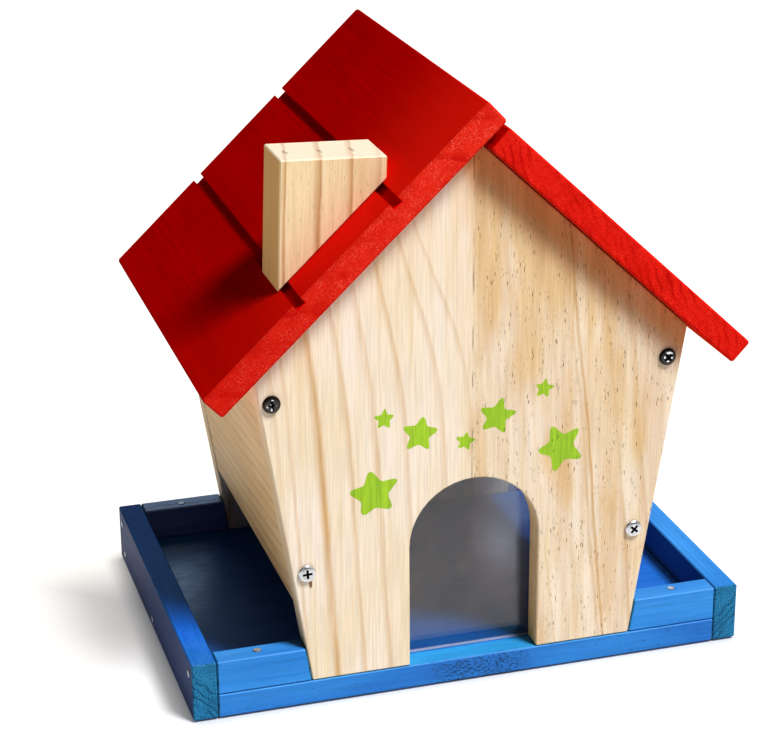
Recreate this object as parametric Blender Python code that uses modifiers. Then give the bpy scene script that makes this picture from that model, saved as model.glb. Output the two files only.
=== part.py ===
"""Wooden house bird feeder: a shallow feeding tray, a small gabled house that holds the
seed, and a pitched roof whose right half opens on two butt hinges for filling.

Frame: metres, +Z up, +X to the right along the front, +Y to the rear.  The origin is the
middle of the tray's underside, so the feeder stands on the plane Z = 0.
"""
import math

import bmesh
import bpy
from mathutils import Matrix, Vector

# ---- driving dimensions, in metres -------------------------------------------------
GAP = 0.0003                      # air left between pieces that touch
STOCK = 0.012                     # thickness of the planed pine boards
EASE = 0.0006                     # sanded edges of the boards
ROOF_EASE = 0.0010                # sanded edges of the roof boards
OVERSHOOT = 0.001                 # how far cutters run past the surface they open

TRAY_WIDTH = 0.280
TRAY_DEPTH = 0.188
RAIL_HEIGHT = 0.0294
SHORT_RAIL_THICK = 0.0115

GABLE_FOOT_HALF = 0.0813          # half the width of the gables where they stand on the board
GABLE_FLARE = 0.156               # how much each side of a gable widens per unit of height
DOOR_HALF = 0.0325
DOOR_SPRING = 0.0748              # height where the doorway's round head begins
DOOR_STEPS = 20

SIDE_FOOT = 0.0488                # height of the side panels' lower edge above the ground
SIDE_RECESS = 0.0004              # how far the side panels sit back from the gable edges
SIDE_REAR_GAP = 0.0010            # shadow gap between the side panels and the rear gable
SIDE_TOP_GAP = 0.0014             # room left under the roof

WINDOW_HALF = 0.042
WINDOW_HEIGHT = 0.100
WINDOW_THICK = 0.002

ROOF_APEX = 0.2726                # height where the undersides of the two roof boards meet
ROOF_PITCH = math.radians(43.2)
ROOF_LENGTH = 0.209
LEFT_ROOF_THICK = 0.013
RIGHT_ROOF_THICK = 0.0128
LEFT_RIDGE_RUN = 0.0144           # how far the left board runs up past the apex
LEFT_EAVE_RUN = 0.1686            # down the slope from the apex to the left eave
RIGHT_RIDGE_START = 0.00415       # the right board starts this far down its slope
RIGHT_EAVE_RUN = 0.1727
LID_REST_GAP = 0.0004             # the closed right board hovers this far off the gables
GROOVE_RUNS = {"upper": 0.0458, "lower": 0.1077}   # middles of the roof grooves, down the slope
GROOVE_WIDTH = 0.0052
GROOVE_DEPTH = 0.003

CHIMNEY_FOOT_RUN = 0.1118         # lower corner of the chimney's foot, down the left slope
CHIMNEY_WIDTH = 0.0497
CHIMNEY_TALL_SIDE = 0.0615
CHIMNEY_LEAN = math.radians(2.4)
CHIMNEY_FRONT = -0.0818
CHIMNEY_DEPTH = 0.0297

# pan-head wood screws that hold the gables to the side panels: distance from the middle
# plane, height, and the turn of the driver cross
WALL_SCREWS = {
    ("left", "upper"): (0.0980, 0.1572, 0.10),
    ("left", "lower"): (0.0832, 0.0698, 0.05),
    ("right", "upper"): (0.0963, 0.1576, 0.62),
    ("right", "lower"): (0.0819, 0.0694, 0.85),
}
PAN_HEAD = 0.0042
PAN_HEIGHT = 0.0017
SCREW_SHANK = 0.0016
SCREW_POINT = 0.0048
SCREW_LENGTH = 0.028
SCREW_SIDES = 24

NAIL_HEAD = 0.0018
NAIL_HEAD_THICK = 0.0006
NAIL_SHANK = 0.0008
NAIL_POINT = 0.0016
NAIL_LENGTH = 0.024
NAIL_SIDES = 12
# wire nails down through the short rails, measured from the middle of the tray
RAIL_NAIL_X = 0.1068
RAIL_NAIL_Y = 0.0875
# wire nails through the long rails' outer faces: distance to the rear, and height
SIDE_NAILS = {
    "rear_upper": (0.0850, 0.0226),
    "rear_lower": (0.0800, 0.0066),
    "middle": (0.0050, 0.0050),
    "front_upper": (-0.0866, 0.0218),
}

FOOT_SCREW_X = 0.057
FOOT_SCREW_LENGTH = 0.026
FOOT_HEAD = 0.0034
FOOT_CONE = 0.0018
FOOT_SINK = 0.0010

TACK_X = 0.037
TACK_HEIGHTS = {"lower": 0.020, "upper": 0.104}
TACK_LENGTH = 0.008

CHIMNEY_NAIL_RUNS = {"upper": 0.062, "lower": 0.092}
CHIMNEY_NAIL_Y = -0.067

HINGE_Y = {"front": -0.062, "rear": 0.062}
HINGE_LENGTH = 0.025
HINGE_MIDDLE = 0.0094             # length of the middle knuckle
HINGE_LEAF = 0.0098               # from the pin to the leaf's far edge
LEAF_THICK = 0.0009
LEAF_SEAT = 0.0005                # air between a leaf and its board
LEAF_INSET = 0.0002               # the flat part stops this short of the knuckle ends
KNUCKLE = 0.00145
KNUCKLE_SIDES = 20
PIN = 0.00065
PIN_BORE = 0.00075
PIN_OVERHANG = 0.0004
PIVOT_RUN = 0.0024                # pin axis, down the right slope from the apex
PIVOT_RISE = 0.01135              # pin axis, out from the right board's underside
HINGE_SCREW_FROM_PIN = 0.0060
HINGE_SCREW_Y = 0.0075
HINGE_SCREW_SHANK = 0.0008
HINGE_SCREW_HEAD = 0.0017
HINGE_SCREW_LENGTH = 0.009
HINGE_SCREW_POINT = 0.002
HINGE_SCREW_AIR = 0.0002
HINGE_SCREW_SIDES = 16

# ---- derived positions -------------------------------------------------------------
COS = math.cos(ROOF_PITCH)
SIN = math.sin(ROOF_PITCH)
SLOPE = math.tan(ROOF_PITCH)
TRAY_END = TRAY_DEPTH / 2
FLOOR = STOCK + GAP               # everything standing on the board starts here
LONG_RAIL_INNER = TRAY_WIDTH / 2 - STOCK
PIVOT = Vector((
    COS * PIVOT_RUN + SIN * PIVOT_RISE,
    0.0,
    ROOF_APEX - SIN * PIVOT_RUN + COS * PIVOT_RISE,
))
# how far the pin lies under the left board's underside
PIN_UNDER_LEFT = SIN * PIVOT.x - COS * (PIVOT.z - ROOF_APEX)
SIDES = {"left": -1, "right": 1}
ENDS = {"front": -1, "rear": 1}


def flare_x(height):
    """Half the width of the gables at a height above the ground."""
    return GABLE_FOOT_HALF + GABLE_FLARE * (height - FLOOR)


# ---- scene and materials -----------------------------------------------------------
for old in list(bpy.data.objects):
    bpy.data.objects.remove(old, do_unlink=True)

PARTS = bpy.data.collections.new("house_bird_feeder")
CUTTERS = bpy.data.collections.new("cutters")
bpy.context.scene.collection.children.link(PARTS)
bpy.context.scene.collection.children.link(CUTTERS)

PINE = ("pine", (0.86, 0.72, 0.50, 1.0), 0.62, 0.0)
BLUE_STAIN = ("blue_stain", (0.030, 0.235, 0.640, 1.0), 0.50, 0.0)
RED_STAIN = ("red_stain", (0.480, 0.012, 0.010, 1.0), 0.50, 0.0)
CLEAR_SHEET = ("clear_sheet", (0.93, 0.95, 0.96, 1.0), 0.08, 0.0)
ZINC = ("zinc", (0.70, 0.71, 0.73, 1.0), 0.28, 1.0)
STEEL = ("steel", (0.52, 0.53, 0.55, 1.0), 0.40, 1.0)
BRASS = ("brass", (0.72, 0.56, 0.26, 1.0), 0.34, 1.0)


def add(name, mesh, finish, frame=None, parent=None):
    """Link a mesh as a piece with its own material, or as a cutter when finish is None."""
    thing = bpy.data.objects.new(name, mesh)
    if parent is not None:
        thing.parent = parent
    if frame is not None:
        thing.location = frame.to_translation()
        thing.rotation_euler = frame.to_euler()
    if finish is None:
        CUTTERS.objects.link(thing)
        thing.hide_render = True
        thing.display_type = "WIRE"
        return thing
    PARTS.objects.link(thing)
    label, colour, roughness, metallic = finish
    material = bpy.data.materials.new(f"{name}_{label}")
    material.use_nodes = True
    shader = material.node_tree.nodes["Principled BSDF"]
    shader.inputs["Base Color"].default_value = colour
    shader.inputs["Roughness"].default_value = roughness
    shader.inputs["Metallic"].default_value = metallic
    mesh.materials.append(material)
    return thing


def anchor(name, location, tilt):
    """An empty that carries the pieces of one slope, tilted about the Y axis."""
    empty = bpy.data.objects.new(name, None)
    empty.location = location
    empty.rotation_euler = (0.0, tilt, 0.0)
    PARTS.objects.link(empty)
    return empty


# along the left slope: X climbs to the ridge, Z points out of the roof
LEFT_SLOPE = anchor("left_slope", (0.0, 0.0, ROOF_APEX), -ROOF_PITCH)
# on the hinge axis: X runs down the right slope, Z points out of the roof
LID_AXIS = anchor("lid_axis", PIVOT, ROOF_PITCH)
# on the hinge axis, lying along the left slope
FIXED_LEAF_AXIS = anchor("fixed_leaf_axis", PIVOT, -ROOF_PITCH)


# ---- shape builders ----------------------------------------------------------------
def mesh_from(bm, name):
    mesh = bpy.data.meshes.new(name)
    bm.to_mesh(mesh)
    bm.free()
    return mesh


def ease(piece, width=EASE):
    """Chamfer the square edges of a board as sandpaper would."""
    step = piece.modifiers.new("eased", "BEVEL")
    step.width = width
    step.segments = 1
    step.limit_method = "ANGLE"
    step.angle_limit = math.radians(35)
    return piece


def combine(piece, tool, operation="DIFFERENCE"):
    """Cut the piece with a cutter, or join the cutter to it."""
    step = piece.modifiers.new(tool.name, "BOOLEAN")
    step.operation = operation
    step.solver = "EXACT"
    step.object = tool
    return piece


def block(name, low, high, finish, parent=None, frame=None):
    """A rectangular block whose origin is its middle, between two corners of a frame."""
    low = Vector(low)
    high = Vector(high)
    bm = bmesh.new()
    bmesh.ops.create_cube(bm, size=1.0, matrix=Matrix.Diagonal(high - low).to_4x4())
    middle = Matrix.Translation((low + high) / 2)
    seat = middle if frame is None else frame @ middle
    return add(name, mesh_from(bm, name), finish, seat, parent)


def cut_board(name, outline, low, high, finish):
    """A board sawn to an outline of (x, z) points, lying between two distances to the rear."""
    curve = bpy.data.curves.new(f"{name}_outline", "CURVE")
    curve.dimensions = "2D"
    curve.fill_mode = "BOTH"
    curve.extrude = (high - low) / 2
    spline = curve.splines.new("POLY")
    spline.points.add(len(outline) - 1)
    for point, (x, z) in zip(spline.points, outline):
        point.co = (x, z, 0.0, 1.0)
    spline.use_cyclic_u = True
    drawn = bpy.data.objects.new(f"{name}_outline", curve)
    CUTTERS.objects.link(drawn)
    drawn.rotation_euler = (math.pi / 2, 0.0, 0.0)
    drawn.location = (0.0, (low + high) / 2, 0.0)
    bpy.context.view_layer.update()
    seen = drawn.evaluated_get(bpy.context.evaluated_depsgraph_get())
    bm = bmesh.new()
    bm.from_mesh(bpy.data.meshes.new_from_object(seen))
    bmesh.ops.remove_doubles(bm, verts=bm.verts, dist=0.00001)
    bmesh.ops.dissolve_limit(bm, angle_limit=math.radians(1), verts=bm.verts, edges=bm.edges)
    bmesh.ops.recalc_face_normals(bm, faces=bm.faces)
    piece = add(name, mesh_from(bm, name), finish, drawn.matrix_world.copy())
    bpy.data.objects.remove(drawn, do_unlink=True)
    return piece


def turned(name, profile, sides, finish, frame, parent=None):
    """A lathe-turned piece: (radius, height) points run down its outer side."""
    bm = bmesh.new()
    points = [bm.verts.new((radius, 0.0, height)) for radius, height in profile]
    for upper, lower in zip(points, points[1:]):
        bm.edges.new((upper, lower))
    piece = add(name, mesh_from(bm, name), finish, frame, parent)
    spin = piece.modifiers.new("turned", "SCREW")
    spin.axis = "Z"
    spin.angle = 2 * math.pi
    spin.steps = sides
    spin.render_steps = sides
    spin.use_merge_vertices = True
    spin.merge_threshold = 0.00001
    spin.use_smooth_shade = True
    return piece


def add_rod(bm, radius, low, high, matrix, sides, far_radius=None):
    """Add a cylinder, or a cone's frustum, from low to high along the matrix's Z axis."""
    bmesh.ops.create_cone(
        bm, cap_ends=True, segments=sides, depth=high - low,
        radius1=radius, radius2=radius if far_radius is None else far_radius,
        matrix=matrix @ Matrix.Translation((0.0, 0.0, (low + high) / 2)),
    )


def facing(point, outward, spin=0.0):
    """Frame at a surface point whose Z axis is the outward direction, spun about it."""
    turn = Vector(outward).to_track_quat("Z", "Y").to_matrix().to_4x4()
    return Matrix.Translation(Vector(point)) @ turn @ Matrix.Rotation(spin, 4, "Z")


def cross_recess(piece, reach, half_width, floor, top, frame, parent=None):
    """Cut a cross-head driver recess with two crossed blocks."""
    for turn_name, turn in (("one", 0.0), ("two", math.pi / 2)):
        blade = block(f"{piece.name}_slot_{turn_name}", (-reach, -half_width, floor),
                      (reach, half_width, top), None, parent,
                      frame @ Matrix.Rotation(turn, 4, "Z"))
        combine(piece, blade)


class Drilling:
    """Screw and nail holes, gathered for each board and then cut in one step."""

    def __init__(self):
        self.bits = {}

    def hole(self, boards, frame, length, radius, sides, head=0.0, sink=0.0, cone=0.0):
        """A blind hole with a sinking for the head: cylindrical, or with a cone under it."""
        for name in boards:
            bm = self.bits.setdefault(name, bmesh.new())
            add_rod(bm, radius + GAP, -length - GAP, OVERSHOOT, frame, sides)
            if head:
                wide = self.bits.setdefault(f"{name} heads", bmesh.new())
                add_rod(wide, head + GAP, -sink, OVERSHOOT, frame, sides)
            if cone:
                taper = self.bits.setdefault(f"{name} cones", bmesh.new())
                add_rod(taper, radius + GAP, -sink - cone - GAP, -sink + GAP, frame, sides,
                        head + GAP)

    def cut(self, pieces):
        for label, bm in self.bits.items():
            name = label.split()[0]
            tool = label.replace(" ", "_")
            combine(pieces[name], add(f"{tool}_holes", mesh_from(bm, f"{tool}_holes"), None))


pieces = {}


def keep(piece):
    pieces[piece.name] = piece
    return piece


# ---- tray --------------------------------------------------------------------------
board_half = LONG_RAIL_INNER - GAP
keep(ease(block("base_board", (-board_half, -TRAY_END, 0.0), (board_half, TRAY_END, STOCK),
                BLUE_STAIN)))
for side_name, side in SIDES.items():
    near, far = sorted((side * LONG_RAIL_INNER, side * TRAY_WIDTH / 2))
    keep(ease(block(f"{side_name}_rail", (near, -TRAY_END, 0.0), (far, TRAY_END, RAIL_HEIGHT),
                    BLUE_STAIN)))
    for end_name, end in ENDS.items():
        outline = [
            (side * (GABLE_FOOT_HALF + GAP), FLOOR),
            (side * board_half, FLOOR),
            (side * board_half, RAIL_HEIGHT),
            (side * (flare_x(RAIL_HEIGHT) + GAP), RAIL_HEIGHT),
        ]
        low, high = sorted((end * (TRAY_END - SHORT_RAIL_THICK), end * TRAY_END))
        keep(ease(cut_board(f"{end_name}_{side_name}_rail", outline, low, high, BLUE_STAIN)))


# ---- house walls -------------------------------------------------------------------
def gable_outline(with_door):
    """Outline of a gable wall; the front one has a round-headed doorway up from its foot."""
    left_line = ROOF_APEX - GAP / COS
    right_line = ROOF_APEX - LID_REST_GAP / COS
    left_x = flare_x(left_line) / (1 + GABLE_FLARE * SLOPE)
    right_x = flare_x(right_line) / (1 + GABLE_FLARE * SLOPE)
    apex_x = (left_line - right_line) / (2 * SLOPE)
    outline = [(-GABLE_FOOT_HALF, FLOOR)]
    if with_door:
        outline.append((-DOOR_HALF, FLOOR))
        for step in range(DOOR_STEPS + 1):
            angle = math.pi - math.pi * step / DOOR_STEPS
            outline.append((DOOR_HALF * math.cos(angle),
                            DOOR_SPRING + DOOR_HALF * math.sin(angle)))
        outline.append((DOOR_HALF, FLOOR))
    outline.append((GABLE_FOOT_HALF, FLOOR))
    outline.append((right_x, right_line - SLOPE * right_x))
    outline.append((-apex_x, left_line - SLOPE * apex_x))
    outline.append((-left_x, left_line - SLOPE * left_x))
    return outline


keep(ease(cut_board("front_panel", gable_outline(True), -TRAY_END, -TRAY_END + STOCK, PINE)))
keep(ease(cut_board("rear_panel", gable_outline(False), TRAY_END - STOCK, TRAY_END, PINE)))

flare_angle = math.atan(GABLE_FLARE)
panel_foot_x = flare_x(SIDE_FOOT) - SIDE_RECESS
roof_line = ROOF_APEX - SIDE_TOP_GAP / COS
panel_height = (roof_line - SLOPE * panel_foot_x - SIDE_FOOT) / (
    math.cos(flare_angle) + SLOPE * math.sin(flare_angle))
for side_name, side in SIDES.items():
    stand = Matrix.Translation((side * panel_foot_x, 0.0, SIDE_FOOT))
    stand = stand @ Matrix.Rotation(side * flare_angle, 4, "Y")
    near, far = sorted((-side * STOCK, 0.0))
    keep(ease(block(f"{side_name}_side_panel",
                    (near, -TRAY_END + STOCK + GAP, 0.0),
                    (far, TRAY_END - STOCK - SIDE_REAR_GAP, panel_height),
                    PINE, frame=stand)))

window_front = -TRAY_END + STOCK + GAP
window_back = window_front + WINDOW_THICK
keep(block("window_sheet", (-WINDOW_HALF, window_front, FLOOR),
           (WINDOW_HALF, window_back, FLOOR + WINDOW_HEIGHT), CLEAR_SHEET))

# ---- roof --------------------------------------------------------------------------
roof_end = ROOF_LENGTH / 2
left_roof = keep(ease(block("left_roof_panel", (-LEFT_EAVE_RUN, -roof_end, 0.0),
                            (LEFT_RIDGE_RUN, roof_end, LEFT_ROOF_THICK),
                            RED_STAIN, LEFT_SLOPE), ROOF_EASE))
for groove_name, run in GROOVE_RUNS.items():
    groove = block(f"{groove_name}_groove",
                   (-run - GROOVE_WIDTH / 2, -roof_end - OVERSHOOT,
                    LEFT_ROOF_THICK - GROOVE_DEPTH),
                   (-run + GROOVE_WIDTH / 2, roof_end + OVERSHOOT,
                    LEFT_ROOF_THICK + OVERSHOOT), None, LEFT_SLOPE)
    combine(left_roof, groove)

keep(ease(block("right_roof_panel",
                (RIGHT_RIDGE_START - PIVOT_RUN, -roof_end, -PIVOT_RISE),
                (RIGHT_EAVE_RUN - PIVOT_RUN, roof_end, RIGHT_ROOF_THICK - PIVOT_RISE),
                RED_STAIN, LID_AXIS), ROOF_EASE))


def chimney_outline():
    """A block cut to the roof's pitch at its foot, leaning a little up the slope."""
    seat = LEFT_ROOF_THICK + GAP
    foot = Vector((-COS * CHIMNEY_FOOT_RUN - SIN * seat,
                   ROOF_APEX - SIN * CHIMNEY_FOOT_RUN + COS * seat))
    up = Vector((math.sin(CHIMNEY_LEAN), math.cos(CHIMNEY_LEAN)))
    across = Vector((math.cos(CHIMNEY_LEAN), -math.sin(CHIMNEY_LEAN)))
    uphill = Vector((COS, SIN))
    tall_top = foot + up * CHIMNEY_TALL_SIDE
    short_top = tall_top + across * CHIMNEY_WIDTH
    short_foot = foot + uphill * (CHIMNEY_WIDTH / uphill.dot(across))
    return [tuple(foot), tuple(short_foot), tuple(short_top), tuple(tall_top)]


keep(ease(cut_board("chimney", chimney_outline(), CHIMNEY_FRONT,
                    CHIMNEY_FRONT + CHIMNEY_DEPTH, PINE)))

# ---- screws and nails --------------------------------------------------------------
drilling = Drilling()


def pan_screw(name, point, outward, spin, boards):
    """A pan-head cross-recess wood screw standing on a surface."""
    frame = facing(point, outward, spin)
    top = GAP + PAN_HEIGHT
    profile = (
        (0.0, top), (0.66 * PAN_HEAD, GAP + 0.95 * PAN_HEIGHT),
        (0.90 * PAN_HEAD, GAP + 0.76 * PAN_HEIGHT), (PAN_HEAD, GAP + 0.42 * PAN_HEIGHT),
        (PAN_HEAD, GAP), (SCREW_SHANK, GAP), (SCREW_SHANK, -SCREW_LENGTH + SCREW_POINT),
        (0.0, -SCREW_LENGTH),
    )
    screw = keep(turned(name, profile, SCREW_SIDES, ZINC, frame))
    cross_recess(screw, 0.56 * PAN_HEAD, 0.14 * PAN_HEAD, GAP + 0.25 * PAN_HEIGHT, top + GAP,
                 frame)
    drilling.hole(boards, frame, SCREW_LENGTH, SCREW_SHANK, SCREW_SIDES // 2)


def wire_nail(name, point, outward, boards, length=NAIL_LENGTH, sink=NAIL_HEAD_THICK,
              finish=STEEL, parent=None, hole_frame=None):
    """A flat-headed nail whose head lies almost flush in a shallow sinking."""
    frame = facing(point, outward)
    seat = -sink + GAP
    profile = (
        (0.0, seat + NAIL_HEAD_THICK), (NAIL_HEAD, seat + NAIL_HEAD_THICK), (NAIL_HEAD, seat),
        (NAIL_SHANK, seat), (NAIL_SHANK, -length + NAIL_POINT), (0.0, -length),
    )
    keep(turned(name, profile, NAIL_SIDES, finish, frame, parent))
    drilling.hole(boards, hole_frame or frame, length, NAIL_SHANK, NAIL_SIDES,
                  NAIL_HEAD if sink else 0.0, sink)


for (side_name, height_name), (screw_x, screw_z, spin) in WALL_SCREWS.items():
    for end_name, end in ENDS.items():
        pan_screw(f"{end_name}_{height_name}_{side_name}_screw",
                  (SIDES[side_name] * screw_x, end * TRAY_END, screw_z), (0.0, end, 0.0), spin,
                  (f"{end_name}_panel", f"{side_name}_side_panel"))
for side_name, side in SIDES.items():
    for end_name, end in ENDS.items():
        wire_nail(f"{end_name}_{side_name}_rail_nail",
                  (side * RAIL_NAIL_X, end * RAIL_NAIL_Y, RAIL_HEIGHT), (0.0, 0.0, 1.0),
                  (f"{end_name}_{side_name}_rail", "base_board"))
    for nail_name, (nail_y, nail_z) in SIDE_NAILS.items():
        behind = "base_board"
        if nail_z > STOCK:
            behind = f"{'front' if nail_y < 0 else 'rear'}_{side_name}_rail"
        wire_nail(f"{side_name}_{nail_name}_nail",
                  (side * TRAY_WIDTH / 2, nail_y, nail_z), (side, 0.0, 0.0),
                  (f"{side_name}_rail", behind))

# countersunk screws up through the board into the feet of the gables
for side_name, side in SIDES.items():
    for end_name, end in ENDS.items():
        frame = facing((side * FOOT_SCREW_X, end * (TRAY_END - STOCK / 2), 0.0),
                       (0.0, 0.0, -1.0))
        profile = (
            (0.0, -FOOT_SINK), (FOOT_HEAD, -FOOT_SINK), (SCREW_SHANK, -FOOT_SINK - FOOT_CONE),
            (SCREW_SHANK, -FOOT_SCREW_LENGTH + SCREW_POINT), (0.0, -FOOT_SCREW_LENGTH),
        )
        screw = keep(turned(f"{end_name}_{side_name}_foot_screw", profile, SCREW_SIDES // 2,
                            ZINC, frame))
        cross_recess(screw, 0.5 * FOOT_HEAD, 0.15 * FOOT_HEAD, -FOOT_SINK - 0.6 * FOOT_CONE,
                     0.0, frame)
        drilling.hole(("base_board",), frame, FOOT_SCREW_LENGTH, SCREW_SHANK,
                      SCREW_SIDES // 2, FOOT_HEAD, FOOT_SINK, FOOT_CONE)
        drilling.hole((f"{end_name}_panel",), frame, FOOT_SCREW_LENGTH, SCREW_SHANK,
                      SCREW_SIDES // 2)

# tacks that hold the window sheet against the back of the front gable
for side_name, side in SIDES.items():
    for height_name, height in TACK_HEIGHTS.items():
        wire_nail(f"window_{height_name}_{side_name}_tack",
                  (side * TACK_X, window_back, height), (0.0, 1.0, 0.0),
                  ("window_sheet", "front_panel"), TACK_LENGTH, 0.0, BRASS)

# nails up through the left roof board into the chimney's foot
tilt = Matrix.Translation((0.0, 0.0, ROOF_APEX)) @ Matrix.Rotation(-ROOF_PITCH, 4, "Y")
for height_name, run in CHIMNEY_NAIL_RUNS.items():
    spot = (-run, CHIMNEY_NAIL_Y, 0.0)
    bore = facing(spot, (0.0, 0.0, -1.0))
    wire_nail(f"chimney_{height_name}_nail", spot, (0.0, 0.0, -1.0), ("chimney",),
              parent=LEFT_SLOPE, hole_frame=tilt @ bore)
    drilling.hole(("left_roof_panel",), tilt @ bore, NAIL_LENGTH, NAIL_SHANK, NAIL_SIDES,
                  NAIL_HEAD, NAIL_HEAD_THICK)


# ---- hinges ------------------------------------------------------------------------
def leaf_axes(moving):
    """Local directions of a leaf about the pin: along the leaf, and into its board."""
    if moving:
        return Vector((0.0, 0.0, -1.0)), Vector((1.0, 0.0, 0.0))
    return Vector((-1.0, 0.0, 0.0)), Vector((0.0, 0.0, 1.0))


def span(*corners):
    """Lowest and highest corner of a box given by any opposite corners."""
    low = [min(c[i] for c in corners) for i in range(3)]
    high = [max(c[i] for c in corners) for i in range(3)]
    return low, high


def leaf(end_name, hinge_y, moving, face, parent):
    """One hinge leaf: a plate beside the pin, its knuckles, the bore and two screw holes.

    face is how far the plate's open side lies from the pin, towards the board.
    """
    kind = "moving" if moving else "fixed"
    name = f"{end_name}_hinge_{kind}_leaf"
    along, inward = leaf_axes(moving)
    rear = Vector((0.0, 1.0, 0.0))
    middle = rear * hinge_y
    half = HINGE_LENGTH / 2
    clear = KNUCKLE + GAP
    low, high = span(middle - rear * (half - LEAF_INSET) + inward * face,
                     middle + rear * (half - LEAF_INSET) + inward * (face + LEAF_THICK)
                     + along * HINGE_LEAF)
    plate = keep(block(name, low, high, BRASS, parent))
    if moving:
        split = HINGE_MIDDLE / 2
        notches = [(split - LEAF_INSET, half + OVERSHOOT), (-half - OVERSHOOT,
                                                            -split + LEAF_INSET)]
        knuckles = [(-split, split)]
    else:
        split = HINGE_MIDDLE / 2 + GAP
        notches = [(-split - LEAF_INSET, split + LEAF_INSET)]
        knuckles = [(-half, -split), (split, half)]
    for number, (start, stop) in enumerate(notches):
        low, high = span(middle + rear * start - along * OVERSHOOT + inward * (face - OVERSHOOT),
                         middle + rear * stop + along * clear
                         + inward * (face + LEAF_THICK + OVERSHOOT))
        combine(plate, block(f"{name}_notch_{number}", low, high, None, parent))
    axis = facing(middle, rear)
    tubes = bmesh.new()
    for start, stop in knuckles:
        add_rod(tubes, KNUCKLE, start, stop, axis, KNUCKLE_SIDES)
    tubes = add(f"{name}_knuckles", mesh_from(tubes, f"{name}_knuckles"), None, None, parent)
    combine(plate, tubes, "UNION")
    bore = bmesh.new()
    add_rod(bore, PIN_BORE, -half - OVERSHOOT, half + OVERSHOOT, axis, KNUCKLE_SIDES)
    combine(plate, add(f"{name}_bore", mesh_from(bore, f"{name}_bore"), None, None, parent))
    cones = bmesh.new()
    for shift in (-HINGE_SCREW_Y, HINGE_SCREW_Y):
        spot = middle + rear * shift + along * HINGE_SCREW_FROM_PIN + inward * face
        frame = facing(spot, -inward)
        slant = (HINGE_SCREW_HEAD - HINGE_SCREW_SHANK) / LEAF_THICK
        add_rod(cones, HINGE_SCREW_SHANK + HINGE_SCREW_AIR - slant * GAP, -LEAF_THICK - GAP,
                GAP, frame, HINGE_SCREW_SIDES, HINGE_SCREW_HEAD + HINGE_SCREW_AIR + slant * GAP)
    combine(plate, add(f"{name}_holes", mesh_from(cones, f"{name}_holes"), None, None, parent))

    turn = parent.rotation_euler.y
    world = Matrix.Translation(PIVOT) @ Matrix.Rotation(turn, 4, "Y")
    for letter, shift in (("a", -HINGE_SCREW_Y), ("b", HINGE_SCREW_Y)):
        spot = middle + rear * shift + along * HINGE_SCREW_FROM_PIN + inward * face
        frame = facing(spot, -inward, 0.4)
        rim = -0.00005
        profile = (
            (0.0, rim), (HINGE_SCREW_HEAD, rim), (HINGE_SCREW_SHANK, rim - LEAF_THICK),
            (HINGE_SCREW_SHANK, -HINGE_SCREW_LENGTH + HINGE_SCREW_POINT),
            (0.0, -HINGE_SCREW_LENGTH),
        )
        screw = keep(turned(f"{end_name}_hinge_{kind}_screw_{letter}", profile,
                            HINGE_SCREW_SIDES, BRASS, frame, parent))
        cross_recess(screw, 0.5 * HINGE_SCREW_HEAD, 0.15 * HINGE_SCREW_HEAD,
                     -0.6 * LEAF_THICK, GAP, frame, parent)
        board = "right_roof_panel" if moving else "left_roof_panel"
        drilling.hole((board,), world @ frame, HINGE_SCREW_LENGTH, HINGE_SCREW_SHANK,
                      NAIL_SIDES)


for end_name, hinge_y in HINGE_Y.items():
    leaf(end_name, hinge_y, False, PIN_UNDER_LEFT - LEAF_SEAT - LEAF_THICK, FIXED_LEAF_AXIS)
    leaf(end_name, hinge_y, True, RIGHT_RIDGE_START - PIVOT_RUN - LEAF_SEAT - LEAF_THICK,
         LID_AXIS)
    pin = bmesh.new()
    reach = HINGE_LENGTH / 2 + PIN_OVERHANG
    add_rod(pin, PIN, -reach, reach, facing((0.0, hinge_y, 0.0), (0.0, 1.0, 0.0)),
            HINGE_SCREW_SIDES)
    pin_name = f"{end_name}_hinge_pin"
    pin = keep(add(pin_name, mesh_from(pin, pin_name), STEEL, None, FIXED_LEAF_AXIS))
    pin.data.shade_smooth()
    pin.data.set_sharp_from_angle(angle=math.radians(35))

drilling.cut(pieces)
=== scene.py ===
"""Looks of the wooden house bird feeder: grain, stain, stars, metal and window, with studio."""

import math
import random

import bmesh
import bpy
from mathutils import Matrix, Vector


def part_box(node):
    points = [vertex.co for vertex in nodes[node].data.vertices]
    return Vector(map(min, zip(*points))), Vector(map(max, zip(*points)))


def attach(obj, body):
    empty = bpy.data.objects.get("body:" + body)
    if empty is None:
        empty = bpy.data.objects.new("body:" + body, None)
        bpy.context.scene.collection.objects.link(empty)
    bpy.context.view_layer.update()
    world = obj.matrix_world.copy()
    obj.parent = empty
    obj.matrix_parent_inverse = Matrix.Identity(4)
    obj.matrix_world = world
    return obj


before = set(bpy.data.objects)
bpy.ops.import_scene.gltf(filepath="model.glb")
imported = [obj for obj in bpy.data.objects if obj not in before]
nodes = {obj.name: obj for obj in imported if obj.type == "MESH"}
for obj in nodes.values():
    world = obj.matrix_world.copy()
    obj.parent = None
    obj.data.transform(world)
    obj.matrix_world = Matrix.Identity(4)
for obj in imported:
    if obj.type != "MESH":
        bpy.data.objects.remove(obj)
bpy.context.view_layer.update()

MM = 0.001
TO_MM = 1000.0
X = Vector((1.0, 0.0, 0.0))
Y = Vector((0.0, 1.0, 0.0))
Z = Vector((0.0, 0.0, 1.0))
ENDS = ("front", "rear")
SIDES = ("left", "right")

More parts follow.
